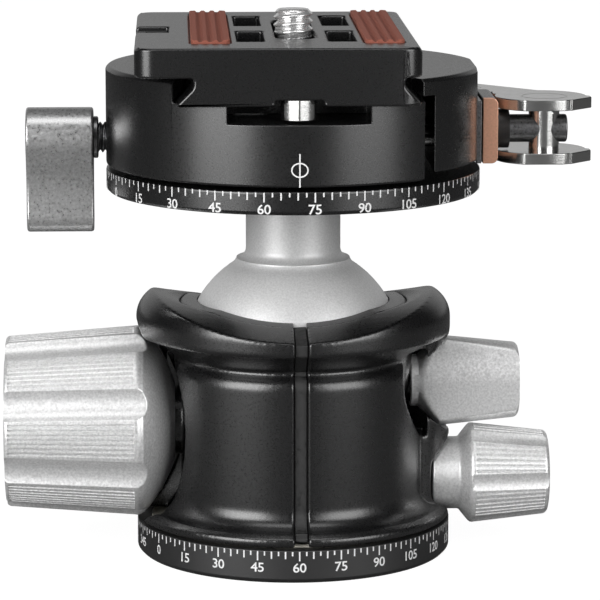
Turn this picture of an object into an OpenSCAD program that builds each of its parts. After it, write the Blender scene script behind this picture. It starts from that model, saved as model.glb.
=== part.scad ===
// Tripod ball head with panning base, friction and lock knobs, a panning lever clamp and its camera plate.
// Millimetres. +Z up, front of the dials towards -Y, origin at the tripod thread on the base's bottom face.

/* [Base] */
// Radius of the graduated base
base_r = 25.8; // [25:0.1:27]
// Height of the base plate
base_h = 5.4; // [5:0.1:6]
// Chamfer round the base's bottom edge
base_chamfer = 0.7; // [0.3:0.1:1]
// Radius of the tripod thread, 3/8 inch
tripod_r = 4.76; // [4.7:0.01:4.8]

/* [Housing] */
// Height of the pan lock knob's axis
pan_z = 12.1; // [12:0.1:12.3]
// How far the waist lies inside the base's edge
waist_depth = 4; // [3.6:0.1:4.4]
// Width of the slit down the front
slit_w = 2.1; // [1.6:0.1:2.6]
// Height of the middle of the saddle that cuts the rim
saddle_z = 41.45; // [41.1:0.05:41.7]
// Radius of the saddle from front to back
saddle_r = 85; // [80:1:95]
// Radius of the saddle's rise towards the sides
saddle_rise_r = 150; // [130:5:180]
// Width of the drop notch in the back of the rim
notch_w = 17.2; // [16.4:0.1:18]

/* [Ball] */
// Radius of the ball
ball_r = 18; // [17.8:0.05:18.05]
// Height of the ball's centre
ball_z = 32.6; // [32.4:0.1:32.8]
// Radius of the stem
stem_r = 7.75; // [7.2:0.05:8]

/* [Main knob] */
// Height of the main knob's axis
main_z = 21.4; // [21.3:0.05:21.6]
// Radius at the knob's inner end
main_r_in = 15.7; // [15:0.1:15.8]
// Radius at the knob's outer end
main_r_out = 14; // [13:0.1:15]
// Length of the knob's grip
main_len = 22.4; // [22:0.1:23]

/* [Right knobs] */
// Height of the tension knob's axis
tension_z = 27.8; // [27.5:0.1:28]
// Largest radius of the tension knob
tension_r = 7.5; // [7.3:0.1:7.8]
// Largest radius of the pan lock knob
lock_r = 8.3; // [7.8:0.1:8.4]

/* [Panning clamp] */
// Radius of the clamp's disc and dial
disc_r = 30.45; // [30:0.05:31]
// Underside of the dial ring
dial_z0 = 60; // [59.5:0.1:62]
// Thickness of the dial ring
dial_h = 3.7; // [3.4:0.1:4.2]
// Thickness of the clamp's disc
disc_h = 16.1; // [15.8:0.1:17]
// Height of the paddle's axis above the disc's underside
paddle_up = 4.2; // [4:0.1:4.4]
// Height of the draw rod's axis above the disc's underside
rod_up = 5.35; // [5.3:0.05:5.45]
// Distance from the wear plate to the lever's pin
pin_off = 8.1; // [8:0.05:8.3]
// Radius of the lever's cam
cam_r = 7.5; // [7.3:0.05:7.6]
// How far the cam's centre stands off its pin
cam_e = 1; // [0.9:0.05:1.1]

/* [Camera plate] */
// Thickness of the plate with its dovetail
plate_h = 9.1; // [8.8:0.1:11]
// Depth of the dovetail groove in the disc
groove_depth = 3.5; // [3.4:0.1:3.6]
// Left edge of the plate
plate_x0 = -25.5; // [-27:0.1:-24]
// Right edge of the plate
plate_x1 = 19.1; // [19:0.1:20]
// Length of the plate along the dovetail
plate_len = 60; // [56:1:70]
// Half the dovetail's width at its tips
tip_x = 19; // [19:0.1:19.1]
// Radius of the camera screw, 1/4 inch
screw_r = 3.175; // [3.1:0.005:3.2]
// How far the camera screw stands out of the plate
screw_out = 3.3; // [2.5:0.1:5]

/* [Hidden] */
$fn = 64;
fit = 0.05;        // radial clearance of a shaft in its hole
ball_gap = 0.15;   // gap between the ball and what holds it
face_gap = 0.2;    // gap between parts that pass each other
eps = 0.01;

housing_z0 = base_h + 0.45;
lip_z1 = housing_z0 + 2.6;           // top of the housing's inward lip
spindle_z0 = lip_z1 + 0.3;           // underside of the spindle's flange
spindle_z1 = 15.1;
hub_r = 13.6;                        // the spindle's neck
flange_r = 15.6;                     // the spindle's flange
seat_z0 = 15.4;                      // step that carries the seat ring
seat_r = 16.9;
waist_r = base_r - waist_depth;
band_z1 = housing_z0 + 1.2;          // top of the flange's straight band
flare_z = housing_z0 + 1.95;
flare_r = waist_depth - 0.9;         // fillet between the flange and the waist
rim_r = 4.4;                         // rounding of the rim's shoulder
cavity_r = ball_r + 0.4;
shell_r = ball_r + 1.6;              // wall kept round the ball where a pocket comes near
collar_r = ball_r + 0.6;             // the collar's outside
collar_z0 = 36.4;
rim_in_z = 41.6;
slit_x = 0.5;
main_face = 1 - base_r;              // inner end of the main knob's grip
dome_r = 22;                         // the main knob's domed inner face
dome_x = main_face + 6.2;
pocket_floor = dome_x + 0.7;
boss_x = dome_x - 2;                 // threaded bosses inside the knobs' hollow faces
boss2_x = 21.6;
tension_x0 = 19.2;                   // inner end of the tension knob's neck
tension_x1 = base_r - 1.9;           // its largest section
tension_floor = 17.5;                // floor of the tension knob's pocket
tension_neck = 4.3;
tension_flat = 4.65;                 // from the axis to the knob's two flats
lock_face = base_r - 3.3;            // floor of the pan lock knob's pocket
lock_x0 = lock_face + 0.3;
lock_neck = 6;
pad_w = 7.4;                         // half the width of the pad that carries both small knobs
back_y = 7;                          // behind this the housing keeps its full radius
dial_z1 = dial_z0 + dial_h;
disc_z0 = dial_z1 + 0.6;
disc_z1 = disc_z0 + disc_h;
paddle_z = disc_z0 + paddle_up;
rod_z = disc_z0 + rod_up;
hub2_r = 11.9;                       // the dial's hub inside the clamp
hub2_z1 = disc_z0 + 6.3;
retainer_r = 13.4;
retainer_z1 = hub2_z1 + 1.3;
groove_z = disc_z1 - groove_depth;   // floor of the dovetail groove
channel_z = groove_z - 2.8;
channel_w = 22.4;
channel_in = 16;
hook_x = tip_x - 1.1;
jaw_gap0 = tip_x + 0.9;              // the disc is parted between these two planes
jaw_gap1 = jaw_gap0 + 1.6;
jaw_flat = disc_r - 1.05;            // flat on the jaw behind the wear plate
plate_bot = groove_z;                // the plate rests on the groove's floor
plate_top = plate_bot + plate_h;
tip_z = plate_bot + 0.3;
lip_z0 = disc_z1 + 0.9;              // underside of the plate's overhang
pocket_z1 = lip_z0 - 0.1;            // the pocket under the plate
screw_top = plate_top + screw_out;
stop_z0 = plate_bot - 2.3;           // the stop screws hang into the channels
cut_z = plate_top + 5;               // cuts through the plate run up to here
pad_x = 13.65;                       // middle of a grip pad
stop_y = plate_len / 2 - 3.2;
strap_x = plate_x0 + 5.2;            // inner side of the opening for a strap
shank_r = 2.9;                       // the camera screw under its thread
head_z1 = pocket_z1 - 1.1;           // top of the camera screw's head
neck_x = tip_x - 2.65;
neck_z = tip_z + 2.65;               // the flanks stand at 45 degrees
wear_x0 = disc_r;
wear_x1 = wear_x0 + 2.45;
pin_x = wear_x1 + pin_off;
fork_t = 1.8;
fork_in = 3.45;                      // from the rod's axis to a fork plate's near face
rod_r = 2.3;
pin_r = 2.5;
cam_dx = -cam_e / 2;
cam_dy = cam_e * sqrt(3) / 2;
fork_z0 = rod_z - fork_in - fork_t;
fork_z1 = rod_z + fork_in + fork_t;
handle_r0 = disc_r + 0.85;
handle_r1 = handle_r0 + 4.5;
handle_z1 = min(fork_z1, stop_z0 - 0.3);   // the stop screws pass over the handle
paddle_x1 = -disc_r - 2.05;
paddle_x0 = paddle_x1 - 10.9;

// ---- helpers ----

// A point on an arc round c, angle in degrees
function arc(c, r, a0, a1, n) =
    [for (i = [0:n]) c + r * [cos(a0 + (a1 - a0) * i / n), sin(a0 + (a1 - a0) * i / n)]];

// Turns a profile of [radius, x] points about an axis along X at height z
module turn_x(z, pts) translate([0, 0, z]) rotate([0, 90, 0]) rotate_extrude() polygon(pts);

module rod_x(z, r, x0, x1, y = 0) translate([x0, y, z]) rotate([0, 90, 0]) cylinder(h = x1 - x0, r = r);

module disc(r, z0, z1) translate([0, 0, z0]) cylinder(h = z1 - z0, r = r);

module ring(r0, r1, z0, z1) difference() { disc(r1, z0, z1); disc(r0, z0 - 1, z1 + 1); }

module box(x0, x1, y0, y1, z0, z1) translate([x0, y0, z0]) cube([x1 - x0, y1 - y0, z1 - z0]);

// ---- base ----

module at_base_screws() for (a = [45:90:315]) rotate(a) translate([10.8, 0, 0]) children();

module base_plate() color("#2b2b2b") difference() {
    rotate_extrude() polygon([[8.05, 0], [base_r - base_chamfer, 0], [base_r, base_chamfer], [base_r, base_h],
        [8.05, base_h]]);
    at_base_screws() { translate([0, 0, -1]) cylinder(h = base_h + 2, r = 1.35); disc(2.3, -1, 1.6); }
}

module base_bushing() color("#8d8d8d") ring(tripod_r, 8, 0, spindle_z0 - 0.3);

module pan_spindle() color("#b0aca0") difference() {
    rotate_extrude() polygon([[0, base_h], [hub_r, base_h], [hub_r, spindle_z0], [flange_r, spindle_z0],
        [flange_r, spindle_z1], [0, spindle_z1]]);
    disc(8.05, base_h - 1, spindle_z0 - 0.2);
    translate([0, 0, ball_z]) sphere(r = ball_r + 0.6);
    at_base_screws() disc(1.25, base_h - 1, 11);
}

module base_screws() color("#9a9a9a") at_base_screws() difference() {
    union() { disc(1.2, 1.5, 10.8); disc(2.2, 0.3, 1.6); }
    disc(1.15, 0, 1.1, $fn = 6);
}

module pan_washer() color("#d8d4c4") ring(hub_r + 0.3, 23.4, base_h, housing_z0);

module spindle_washer() color("#d8d4c4") ring(hub_r + 0.3, flange_r - 0.2, lip_z1, spindle_z0);

// ---- housing ----

// Outside of the housing, inset by d, before the saddle is cut
module housing_turned(d) rotate_extrude() polygon(concat(
    [[0, housing_z0 + d], [base_r - d, housing_z0 + d], [base_r - d, band_z1],
     [base_r - 0.9 - d, flare_z - 0.1]],
    arc([waist_r + flare_r - d, flare_z + flare_r], flare_r, -90, -180, 8),
    arc([waist_r - 2.4 - d, 30.4], 2.4, 0, 62, 6),
    [[waist_r - 1.5 - d, 33.2], [base_r - 1.9 - d, 36.4]], rim_outside(d)));

// The rim from its underside over its rounded shoulder to the collar's seat
function rim_outside(d) = concat(
    arc([base_r - 0.5 - d, 36.9], 0.5, -90, 0, 4),
    arc([base_r - rim_r - d, 39], rim_r, 0, 82, 10),
    [[collar_r + fit, rim_in_z - d], [0, rim_in_z - d]]);

// Everything under the rim's saddle, which falls to front and back and rises to the sides
module saddle(d) translate([0, -5, saddle_z - saddle_r]) rotate([0, 90, 0])
    rotate_extrude($fn = 192) polygon(concat(
    [[0, -30]], [for (x = [-30:3:30]) [saddle_r - d + x * x / (2 * saddle_rise_r), x]], [[0, 30]]));

// Pad on the right side that carries both small knobs
module side_pad() translate([base_r - pad_w, 0, housing_z0]) cylinder(h = 37 - housing_z0, r = pad_w);

// The back of the housing, which isn't waisted
module back() intersection() {
    rotate_extrude() polygon(concat([[0, housing_z0], [base_r, housing_z0]], rim_outside(0)));
    box(-30, 30, back_y, 30, 0, 60);
}

// Pocket round the tension knob, opened towards the front
module tension_pocket() {
    rod_x(tension_z, tension_r + 0.55, tension_floor, 40);
    intersection() { rod_x(tension_z + 3.2, 13, tension_floor, 40); box(0, 21.6, -30, 0, 0, 34.3); }
}

// Pocket round the main knob's domed face, opened to a cone in front of the knob's axis
module main_pocket() {
    turn_x(main_z, [[0, -40], [16.8, -40], [16.8, main_face - 0.5], [0, main_face - 0.5]]);
    translate([dome_x - dome_r, 0, main_z]) sphere(r = dome_r + 0.7, $fn = 128);
    intersection() {
        turn_x(main_z, [[0, -40], [16.8, -40], [16.8, pocket_floor - 4],
            [12.2, pocket_floor], [0, pocket_floor]]);
        box(-40, 0, -30, 3, 0, 60);
    }
}

module housing() color("#262626") difference() {
    union() {
        difference() {
            intersection() { union() { housing_turned(0); side_pad(); back(); } saddle(0); }
            main_pocket();
            tension_pocket();
            rod_x(pan_z, lock_neck + 0.6, lock_face, 40);
        }
        intersection() { translate([0, 0, ball_z]) sphere(r = shell_r); disc(shell_r, housing_z0, 36.4); }
        rod_x(main_z, 5.6, boss_x, pocket_floor + 2);
        rod_x(tension_z, 3.5, 12, boss2_x);
    }
    disc(hub_r + fit, 0, lip_z1 + 1);
    disc(flange_r + 0.3, lip_z1, seat_z0 + 1);
    disc(seat_r + 0.1, seat_z0, ball_z - 6);
    translate([0, 0, ball_z]) sphere(r = cavity_r);
    disc(cavity_r, ball_z, 60);
    disc(collar_r + fit, collar_z0, 60);
    difference() {
        rod_x(tension_z, tension_neck + 0.3, tension_x0 - 0.1, 40);
        rod_x(tension_z, 3.5, 12, boss2_x);
    }
    rod_x(main_z, 3.45, -30, 0);
    rod_x(tension_z, 2.65, 0, 30);
    rod_x(pan_z, 2.65, 0, 30);
    box(slit_x - slit_w / 2, slit_x + slit_w / 2, -30, -10, 0, 60);
    translate([0, 0, ball_z]) rotate([-90, 0, 0]) cylinder(h = 40, r = notch_w / 2);
    box(-notch_w / 2, notch_w / 2, 0, 40, ball_z, 60);
}

module ball_collar() color("#1d1d1d") difference() {
    intersection() {
        rotate_extrude() polygon([[10, collar_z0 + 0.1], [collar_r, collar_z0 + 0.1],
            [collar_r, rim_in_z - 0.3],
            [collar_r - 0.4, rim_in_z], [10, rim_in_z]]);
        saddle(0.15);
    }
    translate([0, 0, ball_z]) sphere(r = ball_r + ball_gap);
    box(-notch_w / 2, notch_w / 2, 0, 40, ball_z, 60);
    box(slit_x - slit_w / 2, slit_x + slit_w / 2, -30, -10, 0, 60);
}

module slit_strip() color("#565656") difference() {
    intersection() {
        housing_turned(0.75);
        saddle(0.6);
        box(slit_x - slit_w / 2 + fit, slit_x + slit_w / 2 - fit, -30, -10, 0, 60);
    }
    disc(collar_r + 0.3, -1, collar_z0);
    translate([0, 0, ball_z]) sphere(r = ball_r + 0.5);
}

// ---- main knob ----

module main_shoe() color("#c9b27a") difference() {
    rod_x(main_z, 3.4, dome_x + 1, -8);
    translate([0, 0, ball_z]) sphere(r = ball_r + ball_gap);
}

module main_knob() color("#a9a9a9") difference() {
    turn_x(main_z, concat([[0, main_face - main_len], [main_r_out - 1, main_face - main_len]],
        arc([main_r_out - 1, main_face - main_len + 1], 1, -90, 0, 4),
        [[main_r_in, main_face - 0.6], [main_r_in - 0.7, main_face]],
        [for (r = [13:-1.5:7]) [r, dome_x - dome_r + sqrt(dome_r * dome_r - r * r)]],
        [[6.1, dome_x - 0.9], [6.1, boss_x - 1.3], [0, boss_x - 1.3]]));
    for (a = [10:45:325]) translate([0, 0, main_z]) rotate([a, 0, 0]) translate([0, -main_r_in - 1.6, 0])
        rod_x(0, 4.4, -60, main_face - 2.6);
    rod_x(main_z, 4, main_face - 10.2, -10);
    rod_x(main_z, 8, -60, main_face - main_len + 1.6);
}

module main_screw() color("#7d7d7d") union() {
    rod_x(main_z, 3.4, boss_x - 1.6, dome_x + 1);
    rod_x(main_z, 3.95, main_face - 10, boss_x - 1.4);
}

module main_knob_cap() color("#202020") turn_x(main_z, [
    [0, main_face - main_len + 0.2], [7.4, main_face - main_len + 0.2],
    [7.95, main_face - main_len + 0.7], [7.95, main_face - main_len + 1.6], [0, main_face - main_len + 1.6]]);

// ---- tension knob ----

module tension_shoe() color("#d8d4c4") difference() {
    rod_x(tension_z, 2.6, 12, 19.6);
    translate([0, 0, ball_z]) sphere(r = ball_r + ball_gap);
}

module tension_knob() color("#a9a9a9") difference() {
    turn_x(tension_z, [[0, tension_x0], [tension_neck, tension_x0],
        [tension_neck, tension_x1 - 3.4], [tension_r, tension_x1],
        [tension_r - 1.3, tension_x1 + 12.5], [tension_r - 1.9, tension_x1 + 13.2], [0, tension_x1 + 13.2]]);
    translate([tension_x1, 0, tension_z]) for (s = [-1, 1])
        translate([5, s * (tension_flat + 5), 0]) cube([20, 10, 20], center = true);
    rod_x(tension_z, 3.65, 19, boss2_x + 0.3);
    rod_x(tension_z, 2.6, 19, tension_x1 + 6.1);
}

module tension_screw() color("#7d7d7d") rod_x(tension_z, 2.6, 19.6, tension_x1 + 6);

// ---- pan lock knob ----

module pan_plug() color("#d8d4c4") rod_x(pan_z, 2.6, flange_r + 0.1, lock_face - 2.8);

module pan_lock_knob() color("#a9a9a9") difference() {
    turn_x(pan_z, [[0, lock_x0], [lock_neck - 0.3, lock_x0],
        [lock_neck, lock_x0 + 0.3], [lock_neck, lock_x0 + 4.5],
        [lock_r - 0.2, lock_x0 + 6.3], [lock_r, lock_x0 + 6.8], [lock_r - 1.3, lock_x0 + 18.5],
        [lock_r - 2.1, lock_x0 + 19.3], [0, lock_x0 + 19.3]]);
    for (a = [-11:60:289]) translate([0, 0, pan_z]) rotate([a, 0, 0])
        translate([lock_x0 + 12.9, -lock_r - 1.6, 0]) rotate([0, 0, 6]) cube([20, 4, 3.2], center = true);
    rod_x(pan_z, 2.6, 20, lock_x0 + 10.9);
}

module pan_lock_screw() color("#7d7d7d") rod_x(pan_z, 2.6, lock_face - 2.8, lock_x0 + 10.8);

// ---- ball ----

module ball_seat() color("#d8d4c4") difference() {
    ring(9, seat_r, seat_z0, 17.6);
    translate([0, 0, ball_z]) sphere(r = ball_r + ball_gap);
}

module ball() color("#b8b8b8") difference() {
    union() {
        translate([0, 0, ball_z]) sphere(r = ball_r, $fn = 128);
        disc(stem_r, ball_z, dial_z0);
        translate([0, 0, ball_z]) rotate_extrude() polygon(concat([[0, 14]], [[9.6, 14]],
            arc([stem_r + 1.6, 17.6], 1.6, -90, -180, 5), [[0, 17.6]]));
    }
    disc(2.5, ball_z + 6, dial_z0 + 1);
}

module clamp_dial() color("#2b2b2b") difference() {
    union() {
        rotate_extrude() polygon([[0, dial_z0], [disc_r - 0.5, dial_z0],
            [disc_r, dial_z0 + 0.5], [disc_r, dial_z1 - 0.2],
            [disc_r - 0.2, dial_z1], [0, dial_z1]]);
        disc(hub2_r, dial_z1, hub2_z1);
    }
    disc(3.05, dial_z0 - 1, hub2_z1 + 1);
}

module clamp_retainer() color("#9a9a9a") ring(3.05, retainer_r, hub2_z1, retainer_z1);

module stem_bolt() color("#3a3a3a") difference() {
    union() { disc(2.5, ball_z + 7, retainer_z1 + 1); disc(4.8, retainer_z1, retainer_z1 + 3); }
    disc(2, retainer_z1 + 1.1, retainer_z1 + 4, $fn = 6);
}

// ---- panning clamp ----

// Side of the disc with its top edge chamfered
module disc_blank(z0) rotate_extrude() polygon([
    [0, z0], [disc_r - 0.3, z0], [disc_r, z0 + 0.3], [disc_r, disc_z1 - 0.5],
    [disc_r - 0.5, disc_z1], [0, disc_z1]]);

// The dovetail groove between the jaws
module groove() translate([0, 50, 0]) rotate([90, 0, 0]) linear_extrude(100) polygon([
    [-tip_x - 0.6, groove_z], [-tip_x - 0.6, hook_flank(tip_x + 0.6)],
    [-hook_x, hook_flank(hook_x)], [-hook_x, cut_z],
    [hook_x, cut_z], [hook_x, hook_flank(hook_x)], [tip_x + 0.6, hook_flank(tip_x + 0.6)],
    [tip_x + 0.6, groove_z]]);

// Height of the jaws' flank at a distance from the middle
function hook_flank(x) = tip_z + tip_x - x + 0.45;

module jaw_mouth() for (s = [-1, 1])
    translate([s * hook_x, -25, 0]) rotate([0, 0, s * 45]) box(-2.4, 2.4, -2.4, 2.4, groove_z, cut_z);

module clamp_body() color("#2b2b2b") difference() {
    disc_blank(disc_z0);
    box(jaw_gap0, 40, -40, 40, dial_z0, cut_z);
    box(hook_x - 1, 40, -40, 40, groove_z, cut_z);
    groove();
    for (s = [-1, 1]) translate([0, s * (channel_in + 20), 0])
        box(-channel_w / 2, channel_w / 2, -20, 20, channel_z, disc_z1);
    jaw_mouth();
    disc(hub2_r + fit, dial_z0, disc_z1);
    disc(retainer_r + face_gap, hub2_z1 - 0.1, disc_z1);
    rod_x(paddle_z, 2.55, -40, 0);
    rod_x(rod_z, rod_r, 14, 40);
    for (s = [-1, 1]) { rod_x(rod_z, 1, 14.5, 40, s * 14.5); rod_x(rod_z, 2, 17.4, 40, s * 8); }
}

module draw_rod() color("#4a4a4a") rod_x(rod_z, rod_r - 0.02, 14.2, pin_x + 3.7);

module lever_pin() color("#c4c4c4") difference() {
    translate([pin_x, 0, 0]) union() { disc(pin_r, fork_z0, fork_z1); disc(3.6, fork_z1 - 1, fork_z1); }
    rod_x(rod_z, rod_r, pin_x - 5, pin_x + 5);
}

module guide_pins() color("#8d8d8d") for (s = [-1, 1]) rod_x(rod_z, 0.98, 14.7, 26, s * 14.5);

// ---- jaw and lever ----

module movable_jaw() color("#2b2b2b") difference() {
    disc_blank(disc_z0 + 1);
    box(-40, jaw_gap1, -40, 40, dial_z0, hook_flank(tip_x));
    box(-40, hook_x, -40, 40, dial_z0, cut_z);
    groove();
    jaw_mouth();
    box(jaw_flat, 40, -8.5, 8.5, dial_z0, cut_z);
    rod_x(rod_z, rod_r + fit, 10, 40);
    for (s = [-1, 1]) { rod_x(rod_z, 1.05, 10, 26.2, s * 14.5); rod_x(rod_z, 2, 10, 24, s * 8); }
}

module jaw_plate() color("#555555") difference() {
    box(jaw_flat, jaw_flat + 0.85, -6.6, 6.6, rod_z - 4.9, rod_z + 5.3);
    rod_x(rod_z, rod_r + fit, 20, 40);
}

// The block under the cam, from y0 to y1, with its outer edges rounded
module cam_bar(y0, y1) translate([0, y1, 0]) rotate([90, 0, 0]) linear_extrude(y1 - y0) {
    translate([wear_x0, rod_z - 4.9]) square([wear_x1 - wear_x0 - 1, 10.6]);
    translate([wear_x0, rod_z - 3.9]) square([wear_x1 - wear_x0, 8.6]);
    for (z = [rod_z - 3.9, rod_z + 4.7]) translate([wear_x1 - 1, z]) circle(r = 1);
}

module cam_face(d) box(wear_x1 - 0.5 - d, wear_x1 + d, -5.5, 6 + d, rod_z - 4.4 - d, rod_z + 5.2 + d);

module cam_block() color("#202020") difference() {
    cam_bar(-5.4, 6);
    cam_face(0.01);
    rod_x(rod_z, rod_r + fit, 20, 40);
}

module wear_plate() color("#c88562") difference() {
    union() { cam_bar(-6.7, -5.4); intersection() { cam_bar(-5.5, 6); cam_face(0); } }
    rod_x(rod_z, rod_r + fit, 20, 40);
}

module jaw_bush() color("#1d1d1d") difference() {
    rod_x(rod_z, 3.2, wear_x1, wear_x1 + 2.3);
    rod_x(rod_z, rod_r + fit, 30, 40);
}

module jaw_springs() color("#b0b0b0") for (s = [-1, 1]) difference() {
    rod_x(rod_z, 1.7, 17.5, 23.9, s * 8);
    rod_x(rod_z, 1.1, 17, 24.5, s * 8);
}

// Plan of a fork plate: the cam round the pin, and an arm that follows the disc's edge
module fork_plan() difference() {
    union() {
        translate([pin_x + cam_dx, cam_dy]) intersection() {
            circle(r = cam_r);
            translate([-20, -cam_r + 0.6]) square([40, 30]);
        }
        polygon([for (q = [[4, -5.4], [7.6, -1.4], [7.6, 0.2], [-10.4, 19], [-14.4, 19.6], [-7.4, 3], [-6, 2]])
            q + [pin_x, 0]]);
    }
    circle(r = handle_r0);
    polygon([[30, -3], [wear_x1 + 0.15, -3], [wear_x1 + 0.15, 6.6], [32, 6.6], [30, 8]]);
}

module lever_plate(z0) difference() {
    translate([0, 0, z0]) linear_extrude(fork_t) fork_plan();
    at_rivets() disc(0.95, fork_z0 - 1, fork_z1 + 1);
}

module at_rivets() for (a = [22, 30]) rotate(a)
    translate([(handle_r0 + handle_r1) / 2 - 0.3, 0, 0]) children();

module lever_plate_top() color("#c4c4c4") difference() {
    lever_plate(rod_z + fork_in);
    translate([pin_x, 0, 0]) {
        disc(pin_r + fit, fork_z0, fork_z1 + 1);
        disc(3.65, fork_z1 - 1.05, fork_z1 + 1);
    }
}

module lever_plate_bottom() color("#c4c4c4") difference() {
    lever_plate(fork_z0);
    translate([pin_x, 0, 0]) disc(pin_r + fit, fork_z0 - 1, fork_z1);
}

module sector(r0, r1, a0, a1, z0, z1) intersection() {
    ring(r0, r1, z0, z1);
    translate([0, 0, z0]) linear_extrude(z1 - z0) polygon(2 * r1 * [[0, 0], [cos(a0), sin(a0)],
        [cos((a0 + a1) / 2), sin((a0 + a1) / 2)], [cos(a1), sin(a1)]]);
}

module lever_handle() color("#2b2b2b") difference() {
    union() {
        sector(handle_r0, handle_r1 - 0.6, 18, 40, rod_z - fork_in, rod_z + fork_in);
        sector(handle_r0, handle_r1, 37, 100, fork_z0, handle_z1);
    }
    at_rivets() disc(0.95, fork_z0 - 1, fork_z1 + 1);
}

module lever_rivets() color("#c4c4c4") at_rivets() disc(0.93, fork_z0, fork_z1);

// ---- clamp pan lock ----

module clamp_plug() color("#d8d4c4") rod_x(paddle_z, 2.05, -17, -hub2_r - 0.1);

module clamp_paddle() color("#a9a9a9") difference() {
    translate([paddle_x0, 0, paddle_z]) rotate([90, 0, 90]) linear_extrude(paddle_x1 - paddle_x0) {
        circle(r = 4.9);
        translate([0, -13]) circle(r = 2.5);
        polygon([[-2.5, -13], [2.5, -13], [2, -5.2], [3.6, -3], [-3.6, -3], [-2, -5.2]]);
    }
    rod_x(paddle_z, 2.5, paddle_x1 - 5.5, -30);
}

module clamp_screw() color("#4a4a4a") union() {
    rod_x(paddle_z, 2.5, paddle_x1 - 5.4, -17);
    rod_x(paddle_z, 3.4, paddle_x1, paddle_x1 + 0.8);
}

// ---- camera plate ----

module rounded_rect(x0, x1, y0, y1, r) union() {
    translate([x0 + r, y0]) square([x1 - x0 - 2 * r, y1 - y0]);
    translate([x0, y0 + r]) square([x1 - x0, y1 - y0 - 2 * r]);
    for (x = [x0 + r, x1 - r], y = [y0 + r, y1 - r]) translate([x, y]) circle(r = r);
}

module slab(x0, x1, y0, y1, r, z0, z1) translate([0, 0, z0])
    linear_extrude(z1 - z0) rounded_rect(x0, x1, y0, y1, r);

module qr_plate() color("#2b2b2b") difference() {
    intersection() {
        slab(plate_x0, plate_x1, -plate_len / 2, plate_len / 2, 3, plate_bot, plate_top);
        translate([0, 50, 0]) rotate([90, 0, 0]) linear_extrude(100) polygon([
            [-tip_x, plate_bot - 1], [-tip_x, tip_z],
            [-neck_x, neck_z], [-neck_x, lip_z0], [plate_x0 - 1, lip_z0],
            [plate_x0 - 1, plate_top - 0.6], [plate_x0 + 0.6, plate_top],
            [plate_x1 - 0.6, plate_top], [plate_x1 + 1, plate_top - 1.6], [plate_x1 + 1, lip_z0],
            [neck_x, lip_z0],
            [neck_x, neck_z], [tip_x, tip_z], [tip_x, plate_bot - 1]]);
    }
    for (sx = [-1, 1], y = [-19.7, 5.3])
        slab(sx * 7.25 - 2.2, sx * 7.25 + 2.2, y, y + 17, 0.6, stop_z0, cut_z);
    slab(-screw_r - fit, screw_r + fit, -16, 16, screw_r, stop_z0, cut_z);
    slab(-4.7, 4.7, -21, 21, 1, stop_z0, pocket_z1);
    for (s = [-1, 1]) { slab(s * pad_x - 3.1, s * pad_x + 3.1, -22.5, 26.5, 0.8, plate_top - 0.8, cut_z);
        translate([0, s * stop_y, 0]) {
            slab(-3.85, 3.85, -5, 5, 0.5, stop_z0, plate_bot + 1);
            disc(1.55, stop_z0, plate_bot + 6.1);
        }
    }
    box(plate_x0 - 1, strap_x + 0.1, -5, 4.6, lip_z0 - 1, cut_z);
}

module pad(s) color("#9c5a48") difference() {
    slab(s * pad_x - 3.05, s * pad_x + 3.05, -22.45, 26.45, 0.8, plate_top - 0.8, plate_top + 0.55);
    for (i = [-1, 0, 1]) translate([s * pad_x + i * 1.55, 0, plate_top + 0.65]) rotate([90, 0, 0])
        cylinder(h = 60, r = 0.45, center = true, $fn = 16);
}
module pad_left() pad(-1);
module pad_right() pad(1);

module stop_screws() color("#c8c8c8") for (s = [-1, 1]) translate([0, s * stop_y, 0]) difference() {
    union() { disc(2.8, stop_z0, plate_bot + 1, $fn = 12); disc(1.5, plate_bot, plate_bot + 5.9); }
    disc(1.2, stop_z0 - 1, stop_z0 + 1.4, $fn = 6);
}

module strap_loop() color("#1d1d1d") union() {
    box(plate_x0 + 0.1, strap_x, 2.6, 4.5, plate_top - 2.4, plate_top - 0.6);
    box(plate_x0 + 0.1, plate_x0 + 1.7, -4.9, 4.5, plate_top - 2.4, plate_top - 0.6);
}

module screw_washer() color("#9a9a9a") difference() {
    box(-4.6, 4.6, -5, 5, head_z1 + 0.1, pocket_z1 - 0.1);
    disc(shank_r + fit, stop_z0, cut_z);
}

module camera_screw() color("#c8c8c8") difference() {
    union() {
        rotate_extrude() polygon([[0, head_z1 - 0.1], [shank_r, head_z1 - 0.1], [shank_r, plate_top + 0.05],
            [screw_r, plate_top + 0.05],
            [screw_r, screw_top - 0.7], [screw_r - 0.8, screw_top], [0, screw_top]]);
        disc(4.5, plate_bot + 0.3, head_z1);
    }
    box(-10, 10, -0.7, 0.7, stop_z0, plate_bot + 1.7);
}

base_plate();
base_bushing();
pan_spindle();
base_screws();
pan_washer();
spindle_washer();
housing();
ball_collar();
slit_strip();
main_shoe();
main_knob();
main_screw();
main_knob_cap();
tension_shoe();
tension_knob();
tension_screw();
pan_plug();
pan_lock_knob();
pan_lock_screw();
ball_seat();
ball();
clamp_dial();
clamp_retainer();
stem_bolt();
clamp_body();
draw_rod();
lever_pin();
guide_pins();
movable_jaw();
jaw_plate();
cam_block();
wear_plate();
jaw_bush();
jaw_springs();
lever_plate_top();
lever_plate_bottom();
lever_handle();
lever_rivets();
clamp_plug();
clamp_paddle();
clamp_screw();
qr_plate();
pad_left();
pad_right();
stop_screws();
strap_loop();
screw_washer();
camera_screw();
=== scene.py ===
"""Looks of a tripod ball head with a panning lever clamp, in metres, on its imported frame."""
import math

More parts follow.
